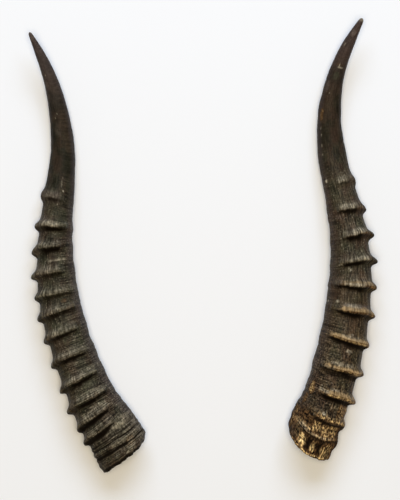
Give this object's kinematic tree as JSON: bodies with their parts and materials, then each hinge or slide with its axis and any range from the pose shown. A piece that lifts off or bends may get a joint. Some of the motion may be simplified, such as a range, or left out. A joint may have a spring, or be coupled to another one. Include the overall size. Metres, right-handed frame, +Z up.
{
  "type": "pair of blesbok horns",
  "caption": "Pair of loose blesbok horn sheaths lying side by side, ringed up the front, smooth towards the outward-curving points, hollow and open at the base.",
  "frame": {"origin": "middle of the pair's outline seen from above, on the surface that the horns lie on", "axes": "+Y from the bases towards the points, +X towards the right horn, +Z up from the surface"},
  "size_m": [0.3024, 0.3946, 0.0467],
  "materials": {
    "dark_horn": "satin, dark olive brown, paler on the ring crests and yellowish at the base",
    "tan_worn_horn": "satin, dark olive brown, with tan worn bands on the lower rings and a yellow and brown base"
  },
  "bodies": {
    "root": {"horn_left": "dark_horn", "horn_right": "tan_worn_horn"}
  },
  "joints": []
}
